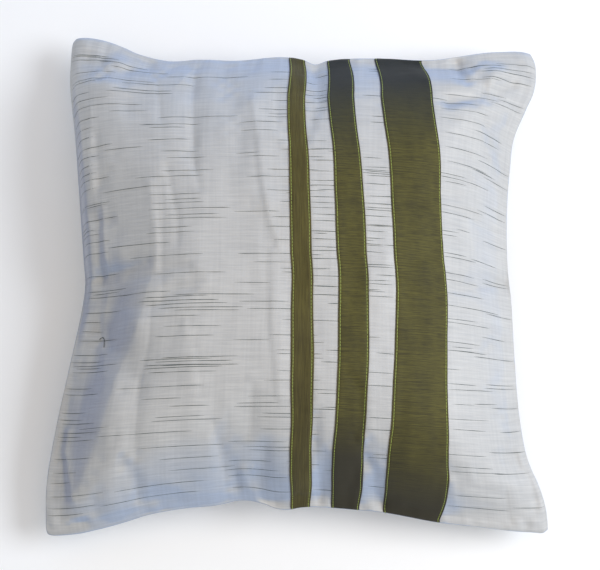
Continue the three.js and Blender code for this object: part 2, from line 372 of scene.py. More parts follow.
front_z = smoothed(heights(SKY_HIGH, Vector((0, 0, -1))), SMOOTHING_PASSES)
back_z = smoothed(heights(-SKY_HIGH, Vector((0, 0, 1))), SMOOTHING_PASSES)
crown, lowest = round(float(front_z.max()), 1), round(float(back_z.min()), 2)
print("front crown:", crown, "mm, back rests at", lowest)

# %% [markdown]
# ## Square the pad's left shoulder
#
# Above the storage fold the pad fills the cover close up to the left seam: there the cloth rises
# steeply for a finger's width and is nearly level from there on. The coarse model rises more
# evenly, so a lift is added that is largest just inside the seam and dies out towards the middle.

# %% Lift the left shoulder
SHOULDER = [
    # share of the seam from foot to head, lift in mm
    (0, 0), (0.36, 0), (0.43, 6), (0.49, 18), (0.56, 23), (0.64, 25),
    (0.8, 26), (0.88, 20), (0.95, 6), (1, 0),
]
SHOULDER_RISE = 7
SHOULDER_REACH = 32

from_left = U * CLOTH_WIDTH
shoulder = 1 - np.exp(-((from_left / SHOULDER_RISE) ** 2))
shoulder *= np.exp(-((from_left / SHOULDER_REACH) ** 2))
shoulder *= table_curve(SHOULDER)(V)
front_z += shoulder
print("left shoulder lifted by up to", round(float(shoulder.max()), 1), "mm")

# %% [markdown]
# ## Let the pad swell the cloth
#
# Cloth that is held at its seam and pushed from inside does more than bulge: it is a little longer
# than the form it fills, so it puckers along the seams and at the corners. A coarser copy of the
# two panels is blown up for twenty frames as cloth, with its seam pinned and gravity off. Only the
# fine part of its movement is kept, as the frame already gives the broad crown, and it is capped.

# %% Helpers for closed panels
def grid_quads(numbers):
    """Quads of a grid of vertex numbers, which look up where rows run to +Y and columns to +X."""
    a, b = numbers[:-1, :-1], numbers[:-1, 1:]
    c, d = numbers[1:, 1:], numbers[1:, :-1]
    return np.dstack([a, b, c, d]).reshape(-1, 4)


def closed_panels(shape):
    """How two grids make one skin that shares their outermost line: each grid's vertex numbers,
    the quads, and where that line is on a grid."""
    rim = np.zeros(shape, bool)
    rim[[0, -1]] = True
    rim[:, [0, -1]] = True
    front_numbers = np.arange(rim.size).reshape(shape)
    back_numbers = front_numbers.copy()
    back_numbers[~rim] = rim.size + np.arange((~rim).sum())
    quads = np.vstack([grid_quads(front_numbers), grid_quads(back_numbers)[:, ::-1]])
    return (front_numbers, back_numbers), quads, rim


def on_skin(front_field, back_field, rim):
    """The values of a front and a back grid, in the order of the skin's vertices."""
    return np.concatenate([front_field.reshape(-1, *front_field.shape[2:]), back_field[~rim]])


# %% Blow up a coarser copy
SWELL_STRIDE = 3
SWELL_FRAMES = 20
SWELL_SETTINGS = {
    "use_pressure": True,
    "uniform_pressure_force": 4,
    "shrink_min": -0.03,
    "vertex_group_mass": "seam",
    "quality": 6,
    "bending_stiffness": 0.3,
}
SWELL_CAP = 3.0
SWELL_BROAD_PASSES = 40
SWELL_FADE = 16


def blown_up(grids):
    """The points in mm of the two panels after some frames as cloth that is pushed out."""
    numbers, quads, rim = closed_panels(grids[0].shape[:2])
    mesh = bpy.data.meshes.new("swollen")
    mesh.from_pydata((on_skin(*grids, rim) * MM).tolist(), [], quads.tolist())
    copy = make_object("swollen", mesh)
    copy.vertex_groups.new(name="seam").add(numbers[0][rim].tolist(), 1.0, "REPLACE")
    settings = copy.modifiers.new("cloth", "CLOTH").settings
    for key, value in SWELL_SETTINGS.items():
        setattr(settings, key, value)
    settings.effector_weights.gravity = 0
    for number in range(1, SWELL_FRAMES + 1):
        bpy.context.scene.frame_set(number)
    moved = copy.evaluated_get(bpy.context.evaluated_depsgraph_get()).data
    points = np.zeros(len(moved.vertices) * 3)
    moved.vertices.foreach_get("co", points)
    bpy.context.scene.frame_set(1)
    bpy.data.objects.remove(copy)
    points = points.reshape(-1, 3) / MM
    return [points[on_grid] for on_grid in numbers]


def swelling():
    """Fine movement in mm over the fine grid, as a front and a back field."""
    kept_rows, kept_columns = (
        np.unique(np.append(np.arange(0, len(lines), SWELL_STRIDE), len(lines) - 1))
        for lines in (v_lines, u_lines)
    )
    kept = np.ix_(kept_rows, kept_columns)
    grids = [np.dstack([plan[kept][..., :2], z[kept]]) for z in (front_z, back_z)]
    fields = []
    for before, after in zip(grids, blown_up(grids)):
        rise = after[..., 2] - before[..., 2]
        fine = (rise - smoothed(rise, SWELL_BROAD_PASSES)).clip(-SWELL_CAP, SWELL_CAP)
        along = smooth_line(v_lines[kept_rows], fine)(v_lines)
        field = smooth_line(u_lines[kept_columns], along.T)(u_lines).T
        fields.append(field * ramp(seam_distance, SWELL_FADE))
    return fields


front_swell, back_swell = np.zeros(U.shape), np.zeros(U.shape)
front_swell, back_swell = swelling()

# %% [markdown]
# ## Where the bands run
#
# Each band is a node of its own in the frame. Its vertices are walked back over the patch to their
# shares u and v. Those furthest from the band's middle line are its two edges, where an upper and
# a lower vertex make a pair. The bands, their stitches and the puckers all read these curves.

# %% Find the edges of the bands in the frame
WALK_STEPS = 12
NUDGE = 1e-4
MIDDLE_DEGREE = 7
EDGE_SHARE = 0.62


def shares_of(points):
    """Shares u and v of plan places in mm, found by walking towards them over the patch."""
    shares = (points[:, :2] - seam[:, :2].min(0)) / np.ptp(seam[:, :2], axis=0)
    for _ in range(WALK_STEPS):
        u, v = shares.T
        here = patch(u, v)[:, :2]
        by_u = (patch(u + NUDGE, v)[:, :2] - here) / NUDGE
        by_v = (patch(u, v + NUDGE)[:, :2] - here) / NUDGE
        slopes = np.stack([by_u, by_v], axis=-1)
        miss = (points[:, :2] - here)[..., None]
        shares = np.clip(shares + np.linalg.solve(slopes, miss)[..., 0], 0, 1)
    return shares


def band_edges(node_name):
    """The band's left and right edges as smooth curves of u, read by v."""
    places, _ = merged(node_name)
    u, v = shares_of(places).T
    middle = np.polynomial.Polynomial.fit(v, u, MIDDLE_DEGREE)
    aside = (u - middle(v)) / np.abs(u - middle(v)).max()
    edges = []
    for edge in (aside < -EDGE_SHARE, aside > EDGE_SHARE):
        order = np.argsort(v[edge])
        pairs = np.column_stack([v[edge][order], u[edge][order]]).reshape(-1, 2, 2).mean(1)
        edges.append(smooth_line(pairs[:, 0], pairs[:, 1:]))
    return lambda at: np.column_stack([edge(at) for edge in edges])


band_shapes = {name: band_edges(name) for name in ("band_narrow", "band_medium", "band_wide")}
for name, read_edges in band_shapes.items():
    print(name, "edges halfway:", read_edges(np.array([0.5])).round(3).tolist())

# %% [markdown]
# ## Folds, gathers and the unevenness of the pad
#
# The main folds are in the frame already. What a step closer shows is added here, as soft
# troughs and ridges along short routes in the plan, each with its own reach on either flank and
# a crest that is soft or, where the cloth was pressed, crisp. A pad is lumpy, so slow noise lifts
# and lowers the front a little, and the cloth is gathered in short puckers that die out a
# finger's width from the seam.

# %% Add the listed folds
CRISP, SOFT = 1.1, 2
FOLDS = [
    # lift mm, reach left and right of the route mm, crest, route in the plan mm
    # the fold it was stored by, at both side seams
    (-2.4, 4, 5, CRISP, [(-166, -5), (-150, -3), (-130, 0), (-112, 4)]),
    (-1.5, 4, 4, CRISP, [(166, -2), (146, -9), (120, -14)]),
    # steep slopes just inside the head and foot seams
    (3.4, 8, 10, SOFT, [(-140, 170), (-98, 168), (-40, 168), (-10, 168)]),
    (4.4, 20, 6, SOFT, [(-156, -184), (-98, -170), (-38, -163), (-10, -165)]),
    (3.0, 9, 14, SOFT, [(98, 160), (130, 162), (160, 165)]),
    (3.5, 9, 14, SOFT, [(-142, 156), (-116, 160), (-60, 157), (-6, 156)]),
    (-2.0, 8, 10, SOFT, [(88, 174), (110, 168), (128, 162)]),
    # the left shoulder: a crease with a dark plane between it and the seam
    (4.4, 13, 13, SOFT, [(-136, 8), (-132, -6)]),
    (1.8, 12, 9, CRISP, [(-108, -9), (-117, -44), (-136, -85), (-147, -122), (-166, -163)]),
    (-4.0, 12, 11, SOFT, [(-132, -14), (-150, -60), (-163, -97), (-169, -130), (-174, -155)]),
    (-0.9, 2, 2, CRISP, [(-107, -28), (-109, -56), (-116, -86), (-119, -127), (-122, -171)]),
    (1.6, 9, 9, SOFT, [(-154, -8), (-157, -30)]),
    # ridges and troughs beside the left seam
    (1.8, 4, 3, CRISP, [(-160, 129), (-159, 107), (-159, 88), (-156, 57)]),
    (-1.3, 4, 3, CRISP, [(-154, 105), (-151, 81), (-150, 56)]),
    (1.6, 3, 3, CRISP, [(-150, 62), (-147, 46), (-146, 15), (-144, -2)]),
    (-1.4, 3, 3, CRISP, [(-152, 47), (-151, 16), (-149, -6)]),
    (2.2, 8, 5, SOFT, [(-162, -34), (-167, -62), (-171, -90), (-175, -118)]),
    (1.2, 4, 3, CRISP, [(-144, -17), (-148, -35), (-146, -78)]),
    (2.6, 4, 3, CRISP, [(-176, -120), (-178, -134), (-174, -156), (-171, -171)]),
    (-1.4, 3, 3, CRISP, [(-180, -141), (-178, -171)]),
    (1.8, 5, 8, SOFT, [(-184, 184), (-178, 164), (-174, 138)]),
    # the head's left half: a pressed crease, a sunk V beside it, a corner fold
    (-1.7, 5, 3, CRISP, [(-79, 176), (-81, 143), (-79, 105), (-77, 76)]),
    (0.5, 3, 3, SOFT, [(-87, 160), (-84, 112)]),
    (-0.6, 3, 3, SOFT, [(-77, 76), (-72, 58)]),
    (-2.2, 8, 8, SOFT, [(-116, 170), (-104, 164), (-89, 168)]),
    (-1.2, 3, 3, CRISP, [(-126, 178), (-109, 153), (-104, 116)]),
    (1.0, 3, 3, CRISP, [(-92, 147), (-79, 172)]),
    (-1.6, 6, 6, SOFT, [(-168, 176), (-147, 160), (-134, 163)]),
    # long soft folds of the left field
    (1.5, 9, 3, CRISP, [(-34, 129), (-31, 111), (-29, 97), (-26, 65), (-20, 34), (-16, 20)]),
    (-0.4, 3, 3, CRISP, [(-33, 94), (-29, 65), (-24, 34), (-22, -42), (-19, -65), (-16, -99)]),
    (1.0, 8, 3, SOFT, [(-17, 8), (-17, -42), (-13, -96)]),
    (1.0, 3, 4, SOFT, [(-110, 63), (-107, 37), (-104, 18), (-105, 0)]),
    (-0.7, 3, 3, SOFT, [(-101, 65), (-100, 36), (-99, -26)]),
    (-0.8, 3, 3, SOFT, [(-97, 75), (-94, 60), (-88, 36), (-88, 17)]),
    (0.5, 5, 5, SOFT, [(-87, -34), (-82, -38), (-79, -57)]),
    (-0.5, 3, 3, CRISP, [(-91, -56), (-81, -33), (-75, -57), (-72, -65), (-69, -96)]),
    (0.4, 4, 5, SOFT, [(-77, -70), (-73, -99)]),
    (-1.1, 3, 3, CRISP, [(-62, -114), (-58, -131), (-55, -147), (-53, -171)]),
    (0.5, 3, 3, SOFT, [(-66, -124), (-62, -146)]),
    # dimples of the foot and folds that fan out from it between the bands
    (-2.4, 10, 7, SOFT, [(-30, -156), (-27, -166), (-24, -178)]),
    (1.2, 4, 4, SOFT, [(-40, -150), (-33, -166), (-28, -176)]),
    (-1.6, 3, 3, CRISP, [(12, -113), (15, -142), (19, -165), (16, -176)]),
    (-1.9, 4, 4, SOFT, [(53, -142), (59, -155), (65, -174)]),
    # the head's right corner
    (-3.6, 4, 5, SOFT, [(127, 182), (130, 168), (134, 154)]),
    (-5.2, 7, 6, SOFT, [(118, 134), (143, 141), (171, 157)]),
    (1.4, 5, 5, SOFT, [(144, 174), (152, 158)]),
    # the foot's right corner
    (-1.6, 5, 5, SOFT, [(112, -148), (137, -162), (158, -168)]),
    (1.0, 3, 3, SOFT, [(116, -157), (121, -175)]),
    (-1.3, 3, 3, CRISP, [(159, -164), (164, -188)]),
    (-1.0, 4, 4, SOFT, [(178, -190), (183, -182), (184, -172)]),
]
print("folds in the table:", len(FOLDS))

# %% Lift and sink the front along the folds
FOLD_FADE = 5


def route_distance(x, y, route):
    """Distance to the route, and which side of it each place lies on: 1 left, -1 right."""
    nearest = np.full(x.shape, np.inf)
    side = np.ones(x.shape)
    for (x1, y1), (x2, y2) in zip(route, route[1:]):
        run = np.array([x2 - x1, y2 - y1], float)
        t = np.clip(((x - x1) * run[0] + (y - y1) * run[1]) / (run @ run), 0, 1)
        dx, dy = x - x1 - t * run[0], y - y1 - t * run[1]
        distance = np.hypot(dx, dy)
        closer = distance < nearest
        nearest = np.where(closer, distance, nearest)
        side = np.where(closer, np.sign(run[0] * dy - run[1] * dx), side)
    return nearest, side


def fold_relief(x, y):
    relief = np.zeros(x.shape)
    for lift, left, right, crest, route in FOLDS:
        distance, side = route_distance(x, y, route)
        flank = np.where(side > 0, left, right)
        relief += lift * np.exp(-((distance / flank) ** crest))
    return relief


seam_fade = ramp(seam_distance, FOLD_FADE)
folds = fold_relief(plan[..., 0], plan[..., 1]) * seam_fade

# %% Add the pad's lumps and the cloth's slight waves
LUMPS = [
    # lift mm, breadth across mm, breadth along mm
    (1.3, 85, 95),
    (0.55, 26, 60),
    (0.22, 11, 30),
]
LUMP_SEEDS = {"front": 3, "back": 40}
SEED_STEP = 10
PAD_FADE = 25


def noise_line(along, breadth, seed, layer=0.5):
    """Smooth noise from about -1 to 1 along a line of places in mm."""
    values = [2 * noise.noise(Vector((a / breadth, seed, layer))) for a in along.ravel()]
    return np.array(values).reshape(along.shape)


def lumps(seed):
    """The sum of several slow waves over the plan, with a level edge."""
    relief = np.zeros(U.shape)
    for i, (lift, across, along) in enumerate(LUMPS):
        places = plan[..., :2].reshape(-1, 2) / (across, along)
        wave = [noise.noise(Vector((x, y, seed + SEED_STEP * i))) for x, y in places]
        relief += lift * np.array(wave).reshape(U.shape) * 2
    return relief * ramp(seam_distance, PAD_FADE)


front_lumps, back_lumps = lumps(LUMP_SEEDS["front"]), lumps(LUMP_SEEDS["back"])
print("lumps of the front:", round(float(np.ptp(front_lumps)), 1), "mm from lowest to highest")

# %% Gather the cloth at the seams
GATHER_LIFT = 0.9
GATHER_REACH = 13
GATHER_FALL = 1.5
GATHER_RISE = 2.5
GATHER_BREADTH = 7
STRENGTH_BREADTH = 45
STRENGTH_SEED_STEP = 5
STRENGTH_MEAN = 0.6
STRENGTH_LEAST = 0.1


def gathers(seed):
    """Short puckers square to each seam, uneven in size and strength."""
    relief = np.zeros(U.shape)
    for i, (along, inward) in enumerate(seam_ways):
        line = np.unique(along)
        wave = noise_line(line, GATHER_BREADTH, seed, i)
        uneven = noise_line(line, STRENGTH_BREADTH, seed + STRENGTH_SEED_STEP, i)
        strength = STRENGTH_MEAN + uneven / 2
        depth = np.interp(along, line, wave * strength.clip(STRENGTH_LEAST))
        fall = np.exp(-((inward / GATHER_REACH) ** GATHER_FALL))
        relief += GATHER_LIFT * depth * ramp(inward, GATHER_RISE) * fall
    return relief


front_gathers, back_gathers = gathers(1.5), gathers(8.5)
print("gathers of the front:", round(float(np.abs(front_gathers).max()), 1), "mm at most")

# %% Pucker and sink the cloth along the bands
PUCKER_LIFT = 0.3
PUCKER_REACH = 6
PUCKER_BREADTH = 4.5
SINK_UNDER_BANDS = 0.35
SINK_MARGIN = 1.5


def beside_bands():
    """Small puckers beside the sewn edges, and a slight drop under the bands, out of sight."""
    relief = np.zeros(U.shape)
    across = U * CLOTH_WIDTH
    for i, read_edges in enumerate(band_shapes.values()):
        left, right = read_edges(v_lines).T[..., None] * CLOTH_WIDTH
        inside = np.minimum(across - left, right - across)
        relief -= SINK_UNDER_BANDS * ramp(inside, SINK_MARGIN)
        for edge in (left, right):
            wave = noise_line(V[:, :1] * CLOTH_LENGTH, PUCKER_BREADTH, edge.mean() + i)
            relief += PUCKER_LIFT * wave * np.exp(-(((across - edge) / PUCKER_REACH) ** 2))
    return relief


sewn_relief = beside_bands() * seam_fade
print("relief beside the bands:", round(float(sewn_relief.max()), 2), "mm at most")

# %% Raise the rolled edge
ROLL_LIFT = 0.3
ROLL_REACH = 2.5
REST_BLEND = 6

roll = np.where(seam_distance > 0, ROLL_LIFT * np.exp(-seam_distance / ROLL_REACH), 0)
front_z = front_z + front_swell + folds + front_lumps + front_gathers + sewn_relief + roll
back_free = back_z + back_swell + back_lumps + back_gathers - roll
back_z = (back_z + (back_free - back_z) * ramp(back_z, REST_BLEND)).clip(0)
front = np.dstack([plan[..., :2], front_z])
back = np.dstack([plan[..., :2], back_z])
print("cover is", round(float(front_z.max()), 1), "mm high")

# %% [markdown]
# ## The cover as one closed mesh
#
# The two grids share their outermost line, which is the seam, so the cover is one closed skin. The
# seam itself lies a little inside the rolled edges of the panels, as a fine groove. A UV map holds
# each point's place in the cloth in metres, so that the weave follows the threads over every fold.
# Two attributes say, for the finish's painted shade, how far the cloth turns away from the lamp at
# each point, and whether it faces the sky or the shaded left. The left slope gets the darkest
# painted shade beside the storage fold and less towards the head, and the foot's slope gets less
# right of the wide band. So short tables say how much a slope counts along those two sides.

# %% Helpers for meshes
def grid_mesh(name, points, quads, cloth_uv):
    """A smooth-shaded mesh in metres, from points in mm, quads and a cloth place for each point."""
    mesh = bpy.data.meshes.new(name)
    mesh.from_pydata((points * MM).tolist(), [], quads.tolist())
    layer = mesh.uv_layers.new(name="cloth")
    corners = np.zeros(len(mesh.loops), int)
    mesh.loops.foreach_get("vertex_index", corners)
    layer.uv.foreach_set("vector", (cloth_uv[corners] * MM).astype(np.float32).ravel())
    mesh.polygons.foreach_set("use_smooth", np.ones(len(mesh.polygons), bool))
    mesh.validate()
    mesh.update()
    return mesh


def grid_normals(points):
    """Unit directions out of a grid of points whose rows run to +Y."""
    across = np.gradient(points, axis=1)
    along = np.gradient(points, axis=0)
    out = np.cross(across, along)
    return out / np.linalg.norm(out, axis=-1, keepdims=True)


# %% Join the front and the back
SEAM_INSET = 0.7

rows, columns = U.shape
_, cover_quads, on_seam = closed_panels(U.shape)
outward = plan[..., :2] - plan[..., :2].mean((0, 1))
outward /= np.linalg.norm(outward, axis=-1, keepdims=True)
front[on_seam, :2] -= outward[on_seam] * SEAM_INSET
cover_points = on_skin(front, back, on_seam)
cloth_place = np.dstack([U * CLOTH_WIDTH, V * CLOTH_LENGTH])
cover_cloth = on_skin(cloth_place, cloth_place, on_seam)
cover = make_object("cover", grid_mesh("cover", cover_points, cover_quads, cover_cloth))
print("cover:", len(cover.data.polygons) * 2, "triangles")

# %% Note how far the cover turns away, and which way, for its painted shade
# weights of a slope in the painted shade, by the way it faces
RIGHT_PAINTED_SHADE_WEIGHT = 0.6
HEAD_PAINTED_SHADE_WEIGHT = 1.05
LEFT_PAINTED_SHADE_WEIGHTS = [
    # share of the seam from foot to head, weight in the painted shade of a slope that faces left
    (0, 1), (0.6, 1), (0.68, 0.75), (0.77, 0.55), (0.86, 0.4), (1, 0.3),
]
FOOT_PAINTED_SHADE_WEIGHTS = [
    # share of the seam from left to right, weight in the painted shade of a slope that faces the
    # foot
    (0, 1.1), (0.79, 1.1), (0.84, 0.65), (1, 0.55),
]
LEAST_UP = 0.1
LEAST_AWAY = 0.01


def painted_shade_turning(points):
    """How steep a grid of points is, counted by the way it faces, for the painted shade of the
    finish, and the share of it that is not due to facing left, which is away from the key lamp."""
    out_x, out_y, out_z = np.moveaxis(grid_normals(points), -1, 0)
    left_weights = np.interp(V, *np.array(LEFT_PAINTED_SHADE_WEIGHTS, float).T)
    foot_weights = np.interp(U, *np.array(FOOT_PAINTED_SHADE_WEIGHTS, float).T)
    side = out_x * np.where(out_x < 0, left_weights, RIGHT_PAINTED_SHADE_WEIGHT)
    end = out_y * np.where(out_y > 0, HEAD_PAINTED_SHADE_WEIGHT, foot_weights)
    away = np.hypot(side, end)
    return away / out_z.clip(LEAST_UP), 1 - (side.clip(max=0) / away.clip(LEAST_AWAY)) ** 2


# these two attributes set where the cloth's colour gets painted shade
for label, *fields in zip(("turned_away", "faces_the_sky"), painted_shade_turning(front), painted_shade_turning(back)):
    values = on_skin(*fields, on_seam)
    attribute = cover.data.attributes.new(label, "FLOAT", "POINT")
    attribute.data.foreach_set("value", values.astype(np.float32))
    print(label, "is on average", round(float(values.mean()), 2))

# %% [markdown]
# ## Read the front panel at any place
#
# Bands, stitches and slubs all lie on the front panel, so one helper gives the point and the
# outward direction for any shares u and v, on the very grid that the cover's mesh has.

# %% Points and directions on the front
front_out = grid_normals(front)


def on_front(u, v, height=0.0):
    """Points in mm that lie the given height over the front panel."""
    column = np.interp(u, u_lines, np.arange(columns))
    row = np.interp(v, v_lines, np.arange(rows))
    c, r = np.minimum(column.astype(int), columns - 2), np.minimum(row.astype(int), rows - 2)
    a, b = (column - c)[..., None], (row - r)[..., None]

    def blend(field):
        return (
            (1 - a) * (1 - b) * field[r, c]
            + a * (1 - b) * field[r, c + 1]
            + (1 - a) * b * field[r + 1, c]
            + a * b * field[r + 1, c + 1]
        )

    return blend(front) + blend(front_out) * np.asarray(height)[..., None]


# %% [markdown]
# ## The three bands
#
# A band is a strip of cloth with its long edges folded under and topstitched about two
# millimetres in. It could be a flat ribbon with a Solidify modifier, but the folded edge is
# rounder and thicker than the middle, and the stitching presses a groove along it. So each strip
# is a closed grid: a top whose height follows that section, and an underside just over the cover.

# %% Section of a band
BAND_LIFT = 0.1
BAND_RISE = 0.95
EDGE_ROUNDING = 0.4
HEM_LIFT = 0.2
HEM_WIDTH = 6.5
HEM_FADE = 1.5
STITCH_INSET = 1.45
GROOVE_DEPTH = 0.42
GROOVE_REACH = 0.6
EDGE_WALL = 0.35
EDGE_LINES = np.array([0, 0.2, 0.5, 0.8, 1.1, 1.45, 1.8, 2.15, 2.6, 3.4, 4.5, 6.0])
BAND_CELL = 1.8


def band_height(inset):
    """Height of the band's top over the cover at a distance in mm from its nearer edge."""
    rise = EDGE_WALL + (BAND_RISE - EDGE_WALL) * (1 - np.exp(-inset / EDGE_ROUNDING))
    hem = HEM_LIFT * ramp(HEM_WIDTH - inset, HEM_FADE)
    groove = GROOVE_DEPTH * np.exp(-(((inset - STITCH_INSET) / GROOVE_REACH) ** 2))
    return BAND_LIFT + rise + hem - groove


def band_lines(width):
    """Places in mm across a band of that width, crowded at its two edges."""
    count = max(2, round((width - 2 * EDGE_LINES[-1]) / BAND_CELL))
    between = np.linspace(EDGE_LINES[-1], width - EDGE_LINES[-1], count + 1)
    return np.concatenate([EDGE_LINES[:-1], between, width - EDGE_LINES[:-1][::-1]])


# %% Where a band lies on the cover
MIDDLE_PART = np.linspace(0.15, 0.85, 30)
BAND_END = 1.0
EDGE_WANDER = 0.12
EDGE_WANDER_BREADTH = 22
END_FADE = 4
END_HEIGHT = 0.3


def mean_width(name):
    """The band's width in mm, measured straight over the cover and taken as the cut size."""
    left, right = band_shapes[name](MIDDLE_PART).T
    across = on_front(right, MIDDLE_PART) - on_front(left, MIDDLE_PART)
    return float(np.linalg.norm(across, axis=1).mean())


def band_edges_at(name, v):
    """The band's two edges as shares of the cover's width, not quite straight."""
    edges = band_shapes[name](v)
    for i in (0, 1):
        wander = noise_line(v * CLOTH_LENGTH, EDGE_WANDER_BREADTH, mean_width(name) + i)
        edges[:, i] += wander * EDGE_WANDER / CLOTH_WIDTH
    return edges


def end_height(v):
    """The share of its height that a band keeps close to the seams."""
    return np.clip(np.minimum(v, 1 - v) * CLOTH_LENGTH / END_FADE, END_HEIGHT, 1)


def on_band(name, inset, v, lift=0.0):
    """Points over a band's top, at an inset in mm from its left edge or, below zero, its right."""
    left, right = band_edges_at(name, v).T
    share = inset / mean_width(name) + (inset < 0)
    height = band_height(abs(inset)) * end_height(v) + lift
    return on_front(left + (right - left) * share, v, height)


for name in band_shapes:
    print(name, "is", round(mean_width(name), 1), "mm wide")

# %% Build the bands
LINES_LEFT_OUT = 3


def band_piece(name):
    width = mean_width(name)
    across = band_lines(width)
    inner = v_lines[LINES_LEFT_OUT:-LINES_LEFT_OUT] * CLOTH_LENGTH
    v = np.concatenate([[BAND_END], inner, [CLOTH_LENGTH - BAND_END]]) / CLOTH_LENGTH
    edges = band_edges_at(name, v)
    u = edges[:, :1] + (edges[:, 1:] - edges[:, :1]) * across / width
    vs = np.repeat(v[:, None], len(across), 1)
    top = on_front(u, vs, band_height(np.minimum(across, width - across)) * end_height(vs))
    under = on_front(u, vs, np.full(u.shape, BAND_LIFT))
    numbers = np.arange(u.size).reshape(u.shape)
    below = numbers + u.size
    rim = np.concatenate([numbers[0], numbers[1:, -1], numbers[-1, -2::-1], numbers[-2:0:-1, 0]])
    onward = np.roll(rim, -1)
    wall = np.column_stack([onward, rim, rim + u.size, onward + u.size])
    quads = np.vstack([grid_quads(numbers), grid_quads(below)[:, ::-1], wall])
    places = np.dstack([np.broadcast_to(across, u.shape), vs * CLOTH_LENGTH]).reshape(-1, 2)
    points = np.vstack([top.reshape(-1, 3), under.reshape(-1, 3)])
    return make_object(name + "_cloth", grid_mesh(name, points, quads, np.vstack([places, places])))


bands = {name: band_piece(name) for name in band_shapes}
print("bands:", {name: len(piece.data.polygons) * 2 for name, piece in bands.items()}, "triangles")

# %% [markdown]
# ## Topstitching
#
# Each band is held by a row of small machine stitches along both edges. A stitch is a short piece
# of thread that dives into the cloth at its two ends, so one low capsule, repeated along a path,
# gives the whole row. Geometry Nodes set them out: the path is measured off in stitch lengths,
# and each stitch is turned to lie along the path with its back to the cloth.

# %% Helpers for Geometry Nodes
def add(tree, kind, links=(), values=(), **settings):
    """A node with its settings, linked by (input, node, output) rows and set by (input, value)."""
    node = tree.nodes.new(kind)
    for key, value in settings.items():
        setattr(node, key, value)
    for socket, value in values:
        node.inputs[socket].default_value = value
    for socket, source, output in links:
        tree.links.new(source.outputs[output], node.inputs[socket])
    return node


def open_tree(name, sizes):
    """A tree with named sizes, its input node, and the curves that the incoming edges make."""
    tree = bpy.data.node_groups.new(name, "GeometryNodeTree")
    sockets = tree.interface
    sockets.new_socket("Geometry", in_out="INPUT", socket_type="NodeSocketGeometry")
    for label, value in sizes.items():
        socket = sockets.new_socket(label, in_out="INPUT", socket_type="NodeSocketFloat")
        socket.default_value = value
    sockets.new_socket("Finish", in_out="INPUT", socket_type="NodeSocketMaterial")
    sockets.new_socket("Geometry", in_out="OUTPUT", socket_type="NodeSocketGeometry")
    start = add(tree, "NodeGroupInput")
    return tree, start, add(tree, "GeometryNodeMeshToCurve", [(0, start, "Geometry")])


def close_tree(tree, start, shape):
    """Make the tree's result a real mesh, give it the finish and send it out."""
    real = add(tree, "GeometryNodeRealizeInstances", [(0, shape, 0)])
    finished = add(tree, "GeometryNodeSetMaterial", [(0, real, 0), ("Material", start, "Finish")])
    add(tree, "NodeGroupOutput", [(0, finished, 0)])
    return tree


def grow(name, mesh, tree, finish):
    """The tree's result on a mesh, as a new piece with a plain mesh."""
    holder = make_object(name + "_paths", mesh)
    modifier = holder.modifiers.new(tree.name, "NODES")
    modifier.node_group = tree
    for socket in tree.interface.items_tree:
        if socket.name == "Finish":
            modifier[socket.identifier] = finish
    bpy.context.view_layer.update()
    evaluated = holder.evaluated_get(bpy.context.evaluated_depsgraph_get())
    result = bpy.data.meshes.new_from_object(evaluated)
    bpy.data.objects.remove(holder)
    return make_object(name, result)


def path_mesh(name, paths, label, values):
    """A mesh of loose edges in metres along each path, with one attribute of its points."""
    mesh = bpy.data.meshes.new(name)
    edges, first = [], 0
    for path in paths:
        edges += [(first + i, first + i + 1) for i in range(len(path) - 1)]
        first += len(path)
    mesh.from_pydata((np.vstack(paths) * MM).tolist(), edges, [])
    values = np.concatenate(values)
    kind, key = ("FLOAT_VECTOR", "vector") if values.ndim == 2 else ("FLOAT", "value")
    attribute = mesh.attributes.new(label, kind, "POINT")
    attribute.data.foreach_set(key, values.astype(np.float32).ravel())
    return mesh


# %% The tree that sews a row of stitches
STITCH_SIZES = {
    "Pitch": 2.45 * MM, "Length": 2.8 * MM, "Width": 0.6 * MM, "Thickness": 0.5 * MM,
}


def stitch_tree():
    """Beads one metre across are shrunk to stitches, as an instance's scale multiplies its size."""
    tree, start, curve = open_tree("sew_stitches", STITCH_SIZES)
    spaced = add(tree, "GeometryNodeResampleCurve",
                 [("Curve", curve, 0), ("Length", start, "Pitch")], mode="LENGTH")
    tangent = add(tree, "GeometryNodeInputTangent")
    outward = add(tree, "GeometryNodeInputNamedAttribute", values=[("Name", "outward")],
                  data_type="FLOAT_VECTOR")
    along = add(tree, "FunctionNodeAlignRotationToVector", [("Vector", tangent, 0)], axis="X")
    turned = add(tree, "FunctionNodeAlignRotationToVector",
                 [("Rotation", along, 0), ("Vector", outward, 0)], axis="Z", pivot_axis="X")
    bead = add(tree, "GeometryNodeMeshUVSphere",
               values=[("Segments", 8), ("Rings", 6), ("Radius", 0.5)])
    smooth = add(tree, "GeometryNodeSetShadeSmooth", [("Geometry", bead, 0)])
    size = add(tree, "ShaderNodeCombineXYZ",
               [("X", start, "Length"), ("Y", start, "Width"), ("Z", start, "Thickness")])
    placed = add(tree, "GeometryNodeInstanceOnPoints",
                 [("Points", spaced, 0), ("Instance", smooth, 0), ("Rotation", turned, 0),
                  ("Scale", size, 0)])
    return close_tree(tree, start, placed)


# %% Sew the bands down
STITCH_STEP = 1.2
STITCH_SINK = 0.08
FIRST_STITCH = BAND_END + 0.6
THREAD_COLOUR = (0.30, 0.37, 0.07)
THREAD_ROUGHNESS = 0.45

paths, outwards = [], []
v = np.arange(FIRST_STITCH, CLOTH_LENGTH - FIRST_STITCH, STITCH_STEP) / CLOTH_LENGTH
for name in band_shapes:
    for inset in (STITCH_INSET, -STITCH_INSET):
        paths.append(on_band(name, inset, v, -STITCH_SINK))
        outwards.append(on_band(name, inset, v, 1 - STITCH_SINK) - paths[-1])

thread_finish, _ = plain_finish("lime_thread", THREAD_COLOUR, THREAD_ROUGHNESS)
stitch_rows = path_mesh("stitch_rows", paths, "outward", outwards)
stitches = grow("topstitches", stitch_rows, stitch_tree(), thread_finish)
print("topstitches:", len(stitches.data.polygons), "faces")
